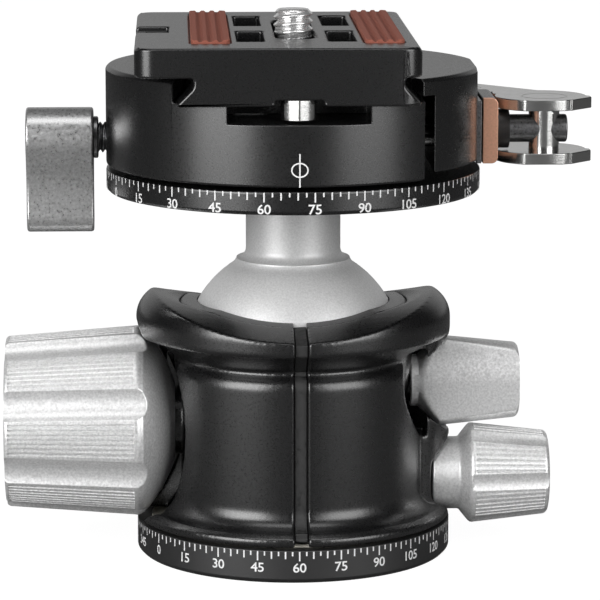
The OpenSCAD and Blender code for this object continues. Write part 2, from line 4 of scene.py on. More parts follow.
import bmesh
import bpy
import numpy as np
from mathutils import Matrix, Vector


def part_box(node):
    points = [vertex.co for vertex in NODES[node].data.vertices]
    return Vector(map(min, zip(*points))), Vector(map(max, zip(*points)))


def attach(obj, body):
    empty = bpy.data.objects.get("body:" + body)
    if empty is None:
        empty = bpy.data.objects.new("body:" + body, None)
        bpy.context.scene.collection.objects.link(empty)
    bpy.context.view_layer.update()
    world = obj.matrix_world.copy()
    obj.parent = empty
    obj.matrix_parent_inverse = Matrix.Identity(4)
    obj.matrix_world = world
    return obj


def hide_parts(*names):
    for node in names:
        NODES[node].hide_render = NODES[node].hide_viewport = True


bl_info = {
    "name": "Tripod ball head",
    "version": (1, 0, 0),
    "blender": (4, 5, 0),
    "location": "View3D > Sidebar > Ball Head",
    "description": "Machined, anodised and engraved finish of a ball head with a panning clamp",
    "category": "Object",
}

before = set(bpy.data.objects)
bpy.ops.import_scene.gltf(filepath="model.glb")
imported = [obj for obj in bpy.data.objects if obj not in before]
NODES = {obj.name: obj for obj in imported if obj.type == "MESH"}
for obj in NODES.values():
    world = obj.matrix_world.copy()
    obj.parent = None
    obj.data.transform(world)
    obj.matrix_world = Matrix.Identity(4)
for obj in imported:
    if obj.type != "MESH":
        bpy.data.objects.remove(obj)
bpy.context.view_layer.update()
MM = 0.001


# ---- settings ----

class HeadSizes(bpy.types.PropertyGroup):
    """Sizes of the finished surfaces"""
    turn_steps: bpy.props.IntProperty(
        name="Turning steps", default=192, min=48,
        description="Straight steps round a turned piece")
    edge_scale: bpy.props.FloatProperty(
        name="Broken edges", default=1.0, min=0.1,
        description="Scales the small bevels on machined edges")
    shell_grain: bpy.props.FloatProperty(
        name="Shell cell", default=0.00025, unit="LENGTH",
        description="Cell of the housing's rounded skin")
    groove_depth: bpy.props.FloatProperty(
        name="Groove depth", default=0.00055, unit="LENGTH",
        description="Depth of the fine grooves on the knobs")
    groove_half: bpy.props.FloatProperty(
        name="Groove half width", default=0.00025, unit="LENGTH",
        description="Half the width of a fine groove")
    scallop_depth: bpy.props.FloatProperty(
        name="Scallop depth", default=0.00125, unit="LENGTH",
        description="Depth of the main knob's finger scallops")
    scallop_width: bpy.props.FloatProperty(
        name="Scallop width", default=0.0054, unit="LENGTH",
        description="Width of the main knob's finger scallops")
    mark_width: bpy.props.FloatProperty(
        name="Tick width", default=0.00024, unit="LENGTH",
        description="Width of an engraved tick")
    digit: bpy.props.FloatProperty(
        name="Digit height", default=0.0015, unit="LENGTH",
        description="Height of the dials' digits")
    camera_pitch: bpy.props.FloatProperty(
        name="Camera thread pitch", default=0.00127, unit="LENGTH",
        description="Pitch of the camera screw's thread")
    clamp_pitch: bpy.props.FloatProperty(
        name="Clamp thread pitch", default=0.0008, unit="LENGTH",
        description="Pitch of the paddle's thread")


class HeadColours(bpy.types.PropertyGroup):
    """Colours of the finishes"""
    black: bpy.props.FloatVectorProperty(
        name="Black anodising", subtype="COLOR", size=3, default=(0.003, 0.003, 0.0033),
        description="Colour of the black parts")
    grey: bpy.props.FloatVectorProperty(
        name="Grey anodising", subtype="COLOR", size=3, default=(0.84, 0.84, 0.84),
        description="Colour of the knobs")
    titanium: bpy.props.FloatVectorProperty(
        name="Dark grey anodising", subtype="COLOR", size=3, default=(0.62, 0.62, 0.62),
        description="Colour of the pan clamp's paddle")
    silver: bpy.props.FloatVectorProperty(
        name="Blasted silver", subtype="COLOR", size=3, default=(0.75, 0.75, 0.75),
        description="Colour of the ball and stem")
    steel: bpy.props.FloatVectorProperty(
        name="Polished steel", subtype="COLOR", size=3, default=(0.62, 0.62, 0.61),
        description="Colour of the fork plates and pins")
    copper: bpy.props.FloatVectorProperty(
        name="Copper anodising", subtype="COLOR", size=3, default=(0.93, 0.50, 0.34),
        description="Colour of the wear plate")
    rubber: bpy.props.FloatVectorProperty(
        name="Brown rubber", subtype="COLOR", size=3, default=(0.60, 0.25, 0.18),
        description="Colour of the grip pads")
    marks: bpy.props.FloatVectorProperty(
        name="Marks", subtype="COLOR", size=3, default=(0.86, 0.86, 0.86),
        description="Colour of the engraved ticks and digits")


class HeadStudio(bpy.types.PropertyGroup):
    """Camera and light"""
    distance: bpy.props.FloatProperty(
        name="Distance", default=0.560, unit="LENGTH",
        description="Level distance from the pan axis to the camera")
    height: bpy.props.FloatProperty(
        name="Height", default=0.142, unit="LENGTH",
        description="Height of the camera over the base")
    turn: bpy.props.FloatProperty(
        name="Turn", default=math.radians(2.0), unit="ROTATION",
        description="How far the camera stands to the left of the front")
    lens: bpy.props.FloatProperty(
        name="Lens", default=207.6,
        description="Focal length in millimetres for a 36 mm sensor")
    lamp_power: bpy.props.FloatProperty(
        name="Lamp power", default=1.0,
        description="Scales the power of all three softboxes")
    room: bpy.props.FloatProperty(
        name="Room", default=0.03,
        description="Level of the dim room round the softboxes")
    backdrop: bpy.props.FloatProperty(
        name="Backdrop", default=0.5,
        description="Level of the low backdrop behind the object")
    paper: bpy.props.FloatProperty(
        name="Paper", default=0.97,
        description="Level of the floor near the object, before the lamps light it")


def sizes():
    return bpy.context.scene.head_sizes


def colours():
    return bpy.context.scene.head_colours


# ---- nodes ----

def add_node(tree, kind, **values):
    """A new shader node; the values are those of its inputs, with _ for a space in their names."""
    node = tree.nodes.new("ShaderNode" + kind)
    for name, value in values.items():
        node.inputs[name.replace("_", " ")].default_value = value
    return node


def link(tree, a, b):
    tree.links.new(a, b)


def maths(tree, operation, a, b):
    """The result of an operation on two inputs, each of them a number or another node's output."""
    node = add_node(tree, "Math")
    node.operation = operation
    for socket, value in zip(node.inputs, (a, b)):
        if isinstance(value, (int, float)):
            socket.default_value = value
        else:
            link(tree, value, socket)
    return node.outputs[0]


def ramp(tree, value, start, end, at_start, at_end):
    """A value that goes evenly from one level to another between start and end."""
    node = add_node(tree, "MapRange", From_Min=start, From_Max=end, To_Min=at_start, To_Max=at_end)
    link(tree, value, node.inputs["Value"])
    return node.outputs["Result"]


# ---- finishes ----

TONE_ENDS = (0.32, 0.68)     # levels of the noise at the darkest and the lightest colour
GLOSS_ENDS = (0.3, 0.7)      # and at the glossiest and the roughest spot
GRAIN_HEIGHT = 0.00004


def grained(name, colour, metallic, rough, spread, grain, bump, ior=1.5, rough_spread=0.08,
            stretch=(1, 1, 1)):
    """A finish with a fine blasted or brushed grain: colour, gloss and relief follow one noise."""
    if name in bpy.data.materials:
        return bpy.data.materials[name]
    mat = bpy.data.materials.new(name)
    mat.use_nodes = True
    tree = mat.node_tree
    shader = tree.nodes["Principled BSDF"]
    shader.inputs["Metallic"].default_value = metallic
    shader.inputs["IOR"].default_value = ior
    place = add_node(tree, "TexCoord")
    lay = add_node(tree, "Mapping", Scale=stretch)
    link(tree, place.outputs["Object"], lay.inputs["Vector"])
    fine = add_node(tree, "TexNoise", Scale=grain, Detail=3.0, Roughness=0.6)
    link(tree, lay.outputs["Vector"], fine.inputs["Vector"])

    tone = add_node(tree, "ValToRGB")
    low = [max(0.0, c * (1 - spread)) for c in colour]
    high = [min(1.0, c * (1 + spread)) for c in colour]
    for stop, level, shade in zip(tone.color_ramp.elements, TONE_ENDS, (low, high)):
        stop.position, stop.color = level, (*shade, 1)
    link(tree, fine.outputs["Fac"], tone.inputs["Fac"])
    link(tree, tone.outputs["Color"], shader.inputs["Base Color"])

    gloss = ramp(tree, fine.outputs["Fac"], *GLOSS_ENDS,
                 max(0.02, rough - rough_spread), min(1.0, rough + rough_spread))
    link(tree, gloss, shader.inputs["Roughness"])

    relief = add_node(tree, "Bump", Strength=bump, Distance=GRAIN_HEIGHT)
    link(tree, fine.outputs["Fac"], relief.inputs["Height"])
    link(tree, relief.outputs["Normal"], shader.inputs["Normal"])
    return mat


def black():
    return grained("matt_black_anodising", colours().black, metallic=0.0, rough=0.29,
                   spread=0.35, grain=3600, bump=0.08, ior=1.80, rough_spread=0.04)


def satin_black():
    return grained("satin_black_anodising", colours().black, metallic=0.0, rough=0.52,
                   spread=0.35, grain=3600, bump=0.10, ior=1.80, rough_spread=0.05)


def grey():
    return grained("grey_anodising", colours().grey, metallic=0.55, rough=0.39,
                   spread=0.15, grain=2600, bump=0.24)


def titanium():
    return grained("dark_grey_anodising", colours().titanium, metallic=0.80, rough=0.33,
                   spread=0.20, grain=2200, bump=0.28)


def silver():
    return grained("blasted_silver", colours().silver, metallic=0.35, rough=0.48,
                   spread=0.10, grain=3400, bump=0.16, rough_spread=0.07)


def steel():
    return grained("polished_steel", colours().steel, metallic=1.0, rough=0.20,
                   spread=0.06, grain=900, bump=0.03, rough_spread=0.06, stretch=(1, 1, 14))


def bright_steel():
    return grained("bright_steel_thread", (0.85, 0.85, 0.85), metallic=0.75, rough=0.24,
                   spread=0.05, grain=1200, bump=0.04, rough_spread=0.06)


def turned_steel():
    return grained("turned_steel", (0.42, 0.42, 0.42), metallic=1.0, rough=0.30,
                   spread=0.08, grain=1400, bump=0.06, rough_spread=0.06)


def dark_steel():
    return grained("blackened_steel", (0.24, 0.24, 0.245), metallic=1.0, rough=0.34,
                   spread=0.25, grain=2600, bump=0.25)


def copper():
    return grained("copper_anodising", colours().copper, metallic=0.6, rough=0.33,
                   spread=0.07, grain=3000, bump=0.08, rough_spread=0.05)


def rubber():
    return grained("brown_rubber", colours().rubber, metallic=0.0, rough=0.62,
                   spread=0.12, grain=2200, bump=0.25, rough_spread=0.1)


def brass():
    return grained("turned_brass", (0.62, 0.46, 0.20), metallic=1.0, rough=0.30,
                   spread=0.12, grain=1400, bump=0.06)


def nylon():
    return grained("white_nylon", (0.72, 0.69, 0.60), metallic=0.0, rough=0.48,
                   spread=0.04, grain=900, bump=0.05)


def plastic():
    return grained("black_plastic", (0.012, 0.012, 0.012), metallic=0.0, rough=0.42,
                   spread=0.2, grain=2400, bump=0.12)


# Painted shade: a near-black, rough, noisy strip fills the housing's open slit, standing in for
# the shade inside the gap.
def filler():
    return grained("painted_slit_shade", (0.008, 0.008, 0.008), metallic=0.0, rough=0.60,
                   spread=0.9, grain=1500, bump=1.0, ior=1.7, rough_spread=0.2)


def marking():
    return grained("white_engraving", colours().marks, metallic=0.0, rough=0.6,
                   spread=0.05, grain=2000, bump=0.05)


# ---- making meshes ----

WELD = 1e-7                           # points closer than this are one point
ON_AXIS = 1e-6                        # a smaller radius is a point on the axis
CAD_WELD = 2e-6                       # as WELD, on a CAD solid's mesh
CAD_FLAT = math.radians(0.4)          # its faces that differ by less are one face
BREAK_FROM = math.radians(30)         # edges sharper than this are broken


def add_piece(name, mesh, material, body, stands_for=(), sharp=35):
    """Puts a finished mesh into the scene, riding on its body."""
    piece = bpy.data.objects.new(name, mesh)
    bpy.context.scene.collection.objects.link(piece)
    mesh.materials.clear()
    mesh.materials.append(material)
    for p in mesh.polygons:
        p.use_smooth = True
    if sharp is not None:
        mesh.set_sharp_from_angle(angle=math.radians(sharp))
    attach(piece, body)
    if stands_for:
        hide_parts(*stands_for)
    return piece


def mesh_of(name, verts, faces):
    """A mesh with its double points merged and its faces turned outwards."""
    mesh = bpy.data.meshes.new(name)
    mesh.from_pydata(verts, [], faces)
    bm = bmesh.new()
    bm.from_mesh(mesh)
    bmesh.ops.remove_doubles(bm, verts=bm.verts, dist=WELD)
    bmesh.ops.recalc_face_normals(bm, faces=bm.faces)
    bm.to_mesh(mesh)
    bm.free()
    return mesh


def on_z(r, a, h):
    """The point at radius r (mm), height h (mm) and angle a from the front towards the right."""
    return (r * math.sin(a) * MM, -r * math.cos(a) * MM, h * MM)


def on_x(z):
    """Points round an axis along X at height z, with the angle from the front upwards."""
    return lambda r, a, x: (x * MM, -r * math.cos(a) * MM, (z + r * math.sin(a)) * MM)


def turned(name, stations, place=on_z, steps=None, radius=None):
    """A closed turned solid: stations of (radius, position) in millimetres along its axis.
    radius(r, angle, position) may cut a station's radius back."""
    n = steps or sizes().turn_steps
    verts, rings = [], []
    for r, h in stations:
        if r < ON_AXIS:
            rings.append([len(verts)])
            verts.append(place(0, 0, h))
            continue
        rings.append(list(range(len(verts), len(verts) + n)))
        for i in range(n):
            a = 2 * math.pi * i / n
            verts.append(place(radius(r, a, h) if radius else r, a, h))
    faces = []
    for p, q in zip(rings, rings[1:]):
        for i in range(n):
            j = (i + 1) % n
            if len(p) == 1 and len(q) == 1:
                break
            if len(p) == 1:
                faces.append((p[0], q[i], q[j]))
            elif len(q) == 1:
                faces.append((p[i], p[j], q[0]))
            else:
                faces.append((p[i], p[j], q[j], q[i]))
    return mesh_of(name, verts, faces)


def arc(cx, cy, r, a0, a1, n):
    """Points on an arc in millimetres, in n steps from angle a0 to a1 in degrees."""
    angles = [math.radians(a0 + (a1 - a0) * i / n) for i in range(n + 1)]
    return [(cx + r * math.cos(a), cy + r * math.sin(a)) for a in angles]


def cad_copy(node):
    """The node's own mesh with its seams closed and its flat faces whole."""
    mesh = NODES[node].data.copy()
    for extra in ("custom_normal", "sharp_edge", "sharp_face"):
        if extra in mesh.attributes:
            mesh.attributes.remove(mesh.attributes[extra])
    bm = bmesh.new()
    bm.from_mesh(mesh)
    bmesh.ops.remove_doubles(bm, verts=bm.verts, dist=CAD_WELD)
    bmesh.ops.dissolve_limit(bm, angle_limit=CAD_FLAT, verts=bm.verts, edges=bm.edges)
    bm.to_mesh(mesh)
    bm.free()
    return mesh


def break_edges(piece, width, steps, sharp=BREAK_FROM):
    """A small rounded bevel along the piece's sharp edges."""
    bevel = piece.modifiers.new("broken_edges", "BEVEL")
    bevel.width = width * sizes().edge_scale
    bevel.segments = steps
    bevel.limit_method = "ANGLE"
    bevel.angle_limit = sharp
    bevel.use_clamp_overlap = False
    bevel.harden_normals = True
    return bevel


def machined(node, material, body, edge, steps=2):
    """The node's shape with its edges broken."""
    piece = add_piece(node + "_machined", cad_copy(node), material, body, (node,),
                      sharp=None)
    break_edges(piece, edge, steps).miter_outer = "MITER_ARC"


def rounded_skin(node, material, body, cell, passes):
    """The node's shape as one even skin with rounded edges, for a part that is tumbled smooth."""
    piece = add_piece(node + "_skin", cad_copy(node), material, body, (node,), sharp=None)
    skin = piece.modifiers.new("even_skin", "REMESH")
    skin.mode = "VOXEL"
    skin.voxel_size = cell
    skin.adaptivity = 0
    skin.use_smooth_shade = True
    soft = piece.modifiers.new("rounded_edges", "SMOOTH")
    soft.factor = 0.5
    soft.iterations = passes


def paint(finish, *nodes):
    """Gives CAD nodes their finish."""
    for node in nodes:
        mesh = NODES[node].data
        mesh.materials.clear()
        mesh.materials.append(finish)


# ---- engraved dials ----

LIFT = 0.000015                           # how proud of its surface the white of a mark lies
DIAL_STEP, TICKS = 2.5, 144               # degrees between ticks, and ticks round a dial
TICK_DROPS = (0.0007, 0.00118, 0.00152)   # lengths of the 2.5, 5 and 15 degree ticks
DIGIT_DROP = 0.00185                      # from a dial's upper edge to the top of its digits
DIGIT_BOLD, DIGIT_GAP, DIGIT_WIDEN = 0.012, 0.96, 1.08
CLAMP_R = 0.03045                         # radius of the clamp's dial and of its disc


def digits_mesh(text, height):
    """The outline of a number as flat faces: points and faces, centred on x, standing on y = 0."""
    curve = bpy.data.curves.new("digits", "FONT")
    curve.body = text
    curve.size = height
    curve.offset = height * DIGIT_BOLD
    curve.align_x = "CENTER"
    curve.resolution_u = 3
    curve.space_character = DIGIT_GAP
    letters = bpy.data.objects.new("digits", curve)
    bpy.context.scene.collection.objects.link(letters)
    bpy.context.view_layer.update()
    solid = letters.evaluated_get(bpy.context.evaluated_depsgraph_get())
    flat = bpy.data.meshes.new_from_object(solid)
    scale = height / max(v.co.y for v in flat.vertices)
    points = [(v.co.x * scale, v.co.y * scale) for v in flat.vertices]
    faces = [tuple(p.vertices) for p in flat.polygons]
    bpy.data.objects.remove(letters)
    bpy.data.curves.remove(curve)
    bpy.data.meshes.remove(flat)
    return points, faces


def wrapped(radius, x, z):
    """The point that is x round a dial from its front, at height z."""
    r, a = radius + LIFT, x / radius
    return (r * math.sin(a), -r * math.cos(a), z)


def add_tick(verts, faces, radius, x, half, top, foot):
    """Adds an upright line, twice half wide, to the points and faces of a dial's marks."""
    start = len(verts)
    for z in (top, foot):
        verts += [wrapped(radius, x - half, z), wrapped(radius, x + half, z)]
    faces.append((start, start + 2, start + 3, start + 1))


def add_marks(name, body, verts, faces):
    """The white of the marks as a piece of its own."""
    mesh = bpy.data.meshes.new(name)
    mesh.from_pydata(verts, [], faces)
    add_piece(name, mesh, marking(), body, sharp=None)


def dial_marks(name, body, radius, top, at_front):
    """Ticks and a number every 15 degrees round a dial, hanging from the height top.
    at_front is the reading that faces the front."""
    verts, faces = [], []
    half, digit = sizes().mark_width / 2, sizes().digit
    for k in range(TICKS):
        reading = DIAL_STEP * k
        numbered = k % 6 == 0
        drop = TICK_DROPS[2 if numbered else 1 if k % 2 == 0 else 0]
        mid = math.radians(reading - at_front) * radius
        add_tick(verts, faces, radius, mid, half, top, top - drop)
        if numbered:
            points, shapes = digits_mesh(str(int(reading)), digit)
            start, foot = len(verts), top - DIGIT_DROP - digit
            verts += [wrapped(radius, mid + x * DIGIT_WIDEN, foot + y) for x, y in points]
            faces += [tuple(start + i for i in f) for f in shapes]
    add_marks(name, body, verts, faces)


# ---- threads ----

THREAD_ROWS = 14                       # rows of points in one turn of a thread
FLANK, FLANK_SHIFT = 1.35, 0.12        # steepen the V, which flattens its crest and its root


def thread_mesh(name, radius, root, pitch, start, end, place, steps=48, chamfer=0.6):
    """A right-hand thread as one skin, in millimetres: a V between root and crest radius,
    closed and chamfered at its ends."""
    rows = int((end - start) / pitch * THREAD_ROWS) + 1
    verts, faces = [], []
    for i in range(rows + 1):
        h = start + (end - start) * i / rows
        near = min(h - start, end - h)
        for k in range(steps):
            a = 2 * math.pi * k / steps
            wave = (h / pitch - k / steps) % 1.0
            tooth = 1 - abs(2 * wave - 1)
            tooth = min(1.0, max(0.0, tooth * FLANK - FLANK_SHIFT))
            r = root + (radius - root) * tooth
            r = min(r, radius - chamfer + near) if near < chamfer else r
            verts.append(place(r, a, h))
    for i in range(rows):
        for k in range(steps):
            j = (k + 1) % steps
            faces.append((i * steps + k, i * steps + j, (i + 1) * steps + j, (i + 1) * steps + k))
    faces.append(tuple(range(steps)))
    faces.append(tuple(range(rows * steps, (rows + 1) * steps)))
    return mesh_of(name, verts, faces)


# ---- stage ----

SENSOR = 36
CLIP = (0.05, 20)
LOOK_DOWN, LOOK_ASIDE = 10.19, 0.116      # the camera's tilt and its turn off the axis, degrees
FLOOR_HALF = 5                            # half the side of the floor
PAPER_NEAR, PAPER_FAR = 0.15, 0.6         # the paper turns full white between these distances
PAPER_MIRRORED = 0.05                     # its level in glossy surfaces
PAPER_MATT = 0.14                         # what it gives back of the lamps' light
BACKDROP_TOP = (0.35, 0.65)               # heights of a direction where the backdrop ends
BACKDROP_SIDE = (0.6, 0.8)                # how far back a direction points where it begins
LAMP_DISTANCE, LAMP_CENTRE = 0.75, 0.045  # the lamps' distance from that height on the pan axis
# azimuth and elevation in degrees, width and height in metres, watts
SOFTBOXES = ((-45, 10, 0.50, 0.80, 7.9), (43, 10, 0.48, 0.80, 4.6), (-4, 74, 0.60, 0.30, 1.2))


def set_camera(scene, studio):
    """The camera, at the photograph's place."""
    camera = bpy.data.objects.new("camera", bpy.data.cameras.new("camera"))
    scene.collection.objects.link(camera)
    scene.camera = camera
    camera.data.sensor_width = SENSOR
    camera.data.lens = studio.lens
    camera.data.clip_start, camera.data.clip_end = CLIP
    camera.location = (-studio.distance * math.sin(studio.turn),
                       -studio.distance * math.cos(studio.turn), studio.height)
    camera.rotation_euler = (math.radians(90 - LOOK_DOWN), 0,
                             -studio.turn - math.radians(LOOK_ASIDE))


def lay_floor(scene, studio):
    """White paper that the camera and glass see as white, and that keeps the object's shadow."""
    corners = [(x * FLOOR_HALF, y * FLOOR_HALF, 0)
               for x, y in ((-1, -1), (1, -1), (1, 1), (-1, 1))]
    floor = bpy.data.objects.new("floor", mesh_of("floor", corners, [(0, 1, 2, 3)]))
    scene.collection.objects.link(floor)
    paper = bpy.data.materials.new("white_paper")
    paper.use_nodes = True
    tree = paper.node_tree
    tree.nodes.remove(tree.nodes["Principled BSDF"])
    ray = add_node(tree, "LightPath")
    place = add_node(tree, "TexCoord")
    away = add_node(tree, "VectorMath")
    away.operation = "LENGTH"
    link(tree, place.outputs["Object"], away.inputs[0])
    near = ramp(tree, away.outputs["Value"], PAPER_NEAR, PAPER_FAR, studio.paper, 1.0)
    direct = maths(tree, "MAXIMUM", ray.outputs["Is Camera Ray"],
                   ray.outputs["Is Transmission Ray"])
    seen = maths(tree, "MULTIPLY", direct, near)
    mirrored = maths(tree, "MULTIPLY", ray.outputs["Is Glossy Ray"], PAPER_MIRRORED)
    glow = add_node(tree, "Emission")
    link(tree, maths(tree, "MAXIMUM", seen, mirrored), glow.inputs["Strength"])
    matt = add_node(tree, "BsdfDiffuse", Color=(PAPER_MATT, PAPER_MATT, PAPER_MATT, 1))
    both = add_node(tree, "AddShader")
    link(tree, glow.outputs[0], both.inputs[0])
    link(tree, matt.outputs[0], both.inputs[1])
    link(tree, both.outputs[0], tree.nodes["Material Output"].inputs["Surface"])
    floor.data.materials.append(paper)


def hang_sky(scene, studio):
    """A dim room with a low pale backdrop behind the object, white where the camera sees it."""
    world = bpy.data.worlds.new("studio")
    scene.world = world
    world.use_nodes = True
    tree = world.node_tree
    sky = tree.nodes["Background"]
    sky.inputs["Color"].default_value = (1, 1, 1, 1)
    ray = add_node(tree, "LightPath")
    place = add_node(tree, "TexCoord")
    part = add_node(tree, "SeparateXYZ")
    link(tree, place.outputs["Generated"], part.inputs[0])
    low = ramp(tree, part.outputs["Z"], *BACKDROP_TOP, studio.backdrop, 0.0)
    behind = maths(tree, "MULTIPLY", ramp(tree, part.outputs["Y"], *BACKDROP_SIDE, 0.0, 1.0), low)
    level = maths(tree, "MAXIMUM", behind, studio.room)
    seen = maths(tree, "MAXIMUM", ray.outputs["Is Camera Ray"], ray.outputs["Is Transmission Ray"])
    link(tree, maths(tree, "MAXIMUM", seen, level), sky.inputs["Strength"])


def place_softboxes(scene, studio):
    """Large soft lamps at the left, at the right and above."""
    for azimuth, height, wide, tall, watts in SOFTBOXES:
        lamp = bpy.data.lights.new("softbox", "AREA")
        lamp.shape = "RECTANGLE"
        lamp.size, lamp.size_y = wide, tall
        lamp.energy = studio.lamp_power * watts
        box = bpy.data.objects.new("softbox", lamp)
        scene.collection.objects.link(box)
        a, e = math.radians(azimuth), math.radians(height)
        where = Vector((math.sin(a) * math.cos(e), -math.cos(a) * math.cos(e), math.sin(e)))
        where = where * LAMP_DISTANCE
        box.location = where + Vector((0, 0, LAMP_CENTRE))
        box.rotation_euler = where.to_track_quat("Z", "Y").to_euler()


class HEAD_OT_stage(bpy.types.Operator):
    """Sets the camera, three softboxes, a white floor and the sky of a small studio"""
    bl_idname = "head.stage"
    bl_label = "Stage"

    def execute(self, context):
        scene = context.scene
        for step in (set_camera, lay_floor, hang_sky, place_softboxes):
            step(scene, scene.head_studio)
        return {"FINISHED"}


# ---- base and housing ----

class HEAD_OT_base(bpy.types.Operator):
    """Makes the graduated base"""
    bl_idname = "head.base"
    bl_label = "Base"

    def execute(self, context):
        machined("base_plate", satin_black(), "base", edge=0.00018)
        dial_marks("base_dial_marks", "base", radius=0.0258, top=0.00528, at_front=59.7)
        paint(turned_steel(), "base_bushing", "base_screws", "pan_spindle")
        paint(nylon(), "pan_washer", "spindle_washer")
        return {"FINISHED"}


class HEAD_OT_housing(bpy.types.Operator):
    """Makes the housing with its slit and the ball's collar"""
    bl_idname = "head.housing"
    bl_label = "Housing"

    def execute(self, context):
        rounded_skin("housing", black(), "housing", sizes().shell_grain,
                     passes=8)
        machined("ball_collar", black(), "housing", edge=0.00015)
        # the slit strip carries painted shade, a near-black sheet where the open slit is only
        # shade
        machined("slit_strip", filler(), "housing", edge=0.00015)
        return {"FINISHED"}


# ---- knobs ----

def rounded_min(a, b, blend):
    """The lesser of two radii, with a round corner where they differ by less than blend."""
    h = max(0.0, blend - abs(a - b)) / blend
    return min(a, b) - h * h * blend / 4


def scallop(r, a, c, first, step, width, depth, blend=0.12):
    """The radius left by round channels of that width and depth, one every step,
    in a surface of radius c."""
    bow = (width * width / 4 + depth * depth) / (2 * depth)
    off = (a - first + step / 2) % step - step / 2
    middle = c + bow - depth
    side = middle * math.sin(off)
    if abs(side) >= bow or abs(off) > math.pi / 2:
        return r
    return rounded_min(r, middle * math.cos(off) - math.sqrt(bow * bow - side * side), blend)


def groove(a, first, step, count, pitch, radius):
    """How deep the fine grooves on a land between two scallops go at that angle."""
    u = ((a - first) % step - step / 2) / pitch
    k = round(u) if count % 2 else math.floor(u) + 0.5
    if abs(k) > (count - 1) / 2:
        return 0.0
    half, depth = sizes().groove_half / MM, sizes().groove_depth / MM
    return depth * max(0.0, 1 - abs(u - k) * pitch * radius / half)


class HEAD_OT_main_knob(bpy.types.Operator):
    """Makes the large lock knob with eight scallops and ribbed lands"""
    bl_idname = "head.main_knob"
    bl_label = "Main knob"

    def execute(self, context):
        lo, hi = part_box("main_knob")
        z = (lo.z + hi.z) / 2 / MM
        face, out = -24.8, lo.x / MM                    # inner and outer end of the cone
        r_in, r_out = (hi.z - lo.z) / 2 / MM, 14.0      # and its radius there
        step, first = math.radians(45), math.radians(21.5)
        grooves, groove_pitch = 7, math.radians(3.15)
        width, depth = sizes().scallop_width / MM, sizes().scallop_depth / MM
        uncut = 13                                      # nothing is cut inside this radius

        def cone(x):
            return r_out + (r_in - r_out) * (x - out) / (face - out)

        def cut(r, a, x):
            if out + 0.6 < x < face - 1.4 and r > cone(x) - 0.4:
                r -= groove(a, first, step, grooves, groove_pitch, r)
            return scallop(r, a, cone(x), first, step, width, depth) if r > uncut else r

        # the recess of the end cap and the outer end with its round edge
        stations = [(0, out + 1.6), (8, out + 1.6), (8, out + 0.3), (8.3, out), (12.2, out)]
        stations += arc(cone(out) - 0.55, out + 0.55, 0.55, -90, -10, 5)
        # the grooved cone, whose grooves run out over short steps at both ends
        stations += [(cone(x), x) for x in (out + 0.58, out + 0.66, out + 0.9)]
        stations += [(cone(x), x) for x in np.linspace(out + 1.5, face - 1.6, 24)]
        stations += [(cone(x), x) for x in (face - 1.45, face - 1.38, face - 1.25)]
        stations += [(r_in - 0.05, face - 0.95), (r_in - 0.15, face - 0.6),
                     (r_in - 0.3, face - 0.3), (r_in - 0.46, face - 0.08)]
        # the domed inner face and the screw's bore
        dome_x, dome_r = -40.6, 22.0
        for r in (*np.arange(15.2, 13, -0.15), 12.6, 11.8, 10.8, 9.6, 8.4, 7.2):
            x = dome_x + math.sqrt(dome_r ** 2 - r ** 2)
            if x > face:
                stations.append((r, x))
        stations += [(6.1, -19.5), (6.1, -21.9), (0, -21.9)]
        mesh = turned("main_knob_ribbed", stations, on_x(z), steps=2160, radius=cut)
        add_piece("main_knob_ribbed", mesh, grey(), "main_knob",
                  ("main_knob",), sharp=38)
        machined("main_knob_cap", plastic(), "main_knob", edge=0.0002)
        paint(turned_steel(), "main_screw")
        paint(brass(), "main_shoe")
        return {"FINISHED"}


def tension_knob():
    """The friction knob: a slightly tapered body with two bowed flats."""
    axis_z = 27.8
    flat, bend, blend = 4.6, 9.0, 0.2      # the flats' distance from the axis, bend and corner

    def flats(r, a, x):
        c, e = math.cos(a), math.sin(a)
        c, e = (c, e) if c >= 0 else (-c, -e)
        if c < 1e-6:
            return r
        if e <= 0.02:
            reach = flat / c
        else:
            reach = (math.sqrt(c * c + 2 * flat * e * e / bend) - c) * bend / (e * e)
        return rounded_min(r, reach, blend)

    stations = [(0, 21.9), (3.65, 21.9), (3.65, 19.2), (4.1, 19.2), (4.3, 19.4), (4.3, 20.5)]
    stations += [(4.3 + 3.18 * t, 20.5 + 3.4 * t) for t in (0.15, 0.3, 0.45, 0.6, 0.75, 0.9, 1)]
    stations += [(7.48, 24.1)]
    stations += [(7.48 - 1.25 * t, 24.1 + 12.3 * t) for t in np.linspace(0.1, 1, 12)]
    stations += [(6.1, 36.65), (5.9, 36.88), (5.65, 37.03), (5.3, 37.1), (0, 37.1)]
    mesh = turned("tension_knob_flatted", stations, on_x(axis_z), steps=720, radius=flats)
    add_piece("tension_knob_flatted", mesh, grey(), "tension_knob",
              ("tension_knob",), sharp=40)


